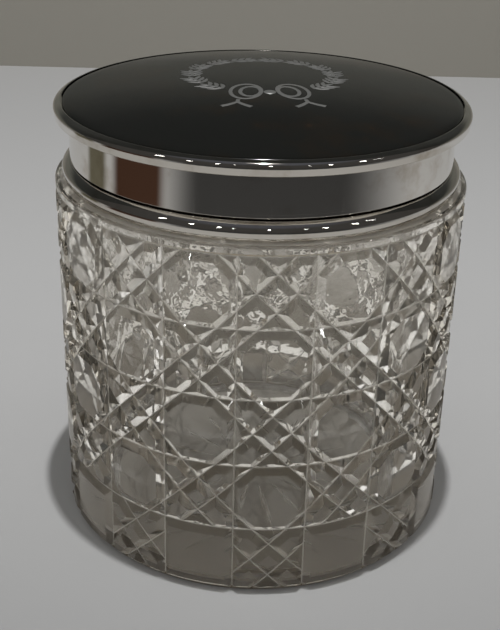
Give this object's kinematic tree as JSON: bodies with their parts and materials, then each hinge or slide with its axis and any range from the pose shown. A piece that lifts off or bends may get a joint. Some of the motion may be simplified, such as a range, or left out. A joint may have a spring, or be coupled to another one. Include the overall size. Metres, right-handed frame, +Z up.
{
  "type": "vanity jar",
  "caption": "Round cut-glass dressing-table jar with a silver collar and a pull-off lid of tortoiseshell inlaid with a silver wreath.",
  "frame": {"origin": "centre of the flat ring under the base", "axes": "+Z up along the jar's axis, -Y towards the front, where the ribbon bow of the lid lies"},
  "size_m": [0.084, 0.084, 0.0943],
  "materials": {
    "cut_glass": "clear, wheel cut and polished",
    "plaster": "matt, set plaster",
    "silver": "polished silver with fine wear",
    "silver_gilt": "soft gilt, brushed by use",
    "tortoiseshell": "polished, near black with brown mottling",
    "silver_inlay": "flush inlay, dulled"
  },
  "bodies": {
    "jar": {"glass_body": "cut_glass", "collar_plaster": "plaster", "collar_sleeve": "silver", "collar_moulding": "silver"},
    "lid": {"lid_band": "silver", "lid_bezel": "silver", "lid_top_plate": "silver_gilt", "shell_panel": "tortoiseshell", "bow_knot": "silver_inlay", "bow_loop_left": "silver_inlay", "bow_loop_right": "silver_inlay", "bow_tail_left": "silver_inlay", "bow_tail_right": "silver_inlay", "wreath_sprig_left_1": "silver_inlay", "wreath_sprig_left_2": "silver_inlay", "wreath_sprig_left_3": "silver_inlay", "wreath_sprig_left_4": "silver_inlay", "wreath_sprig_left_5": "silver_inlay", "wreath_sprig_left_6": "silver_inlay", "wreath_sprig_right_1": "silver_inlay", "wreath_sprig_right_2": "silver_inlay", "wreath_sprig_right_3": "silver_inlay", "wreath_sprig_right_4": "silver_inlay", "wreath_sprig_right_5": "silver_inlay", "wreath_sprig_right_6": "silver_inlay"}
  },
  "joints": [
    {"name": "lid_lift", "type": "slide", "parent": "jar", "child": "lid", "axis": [0, 0, 1], "range_m": [0, 0.03]}
  ]
}
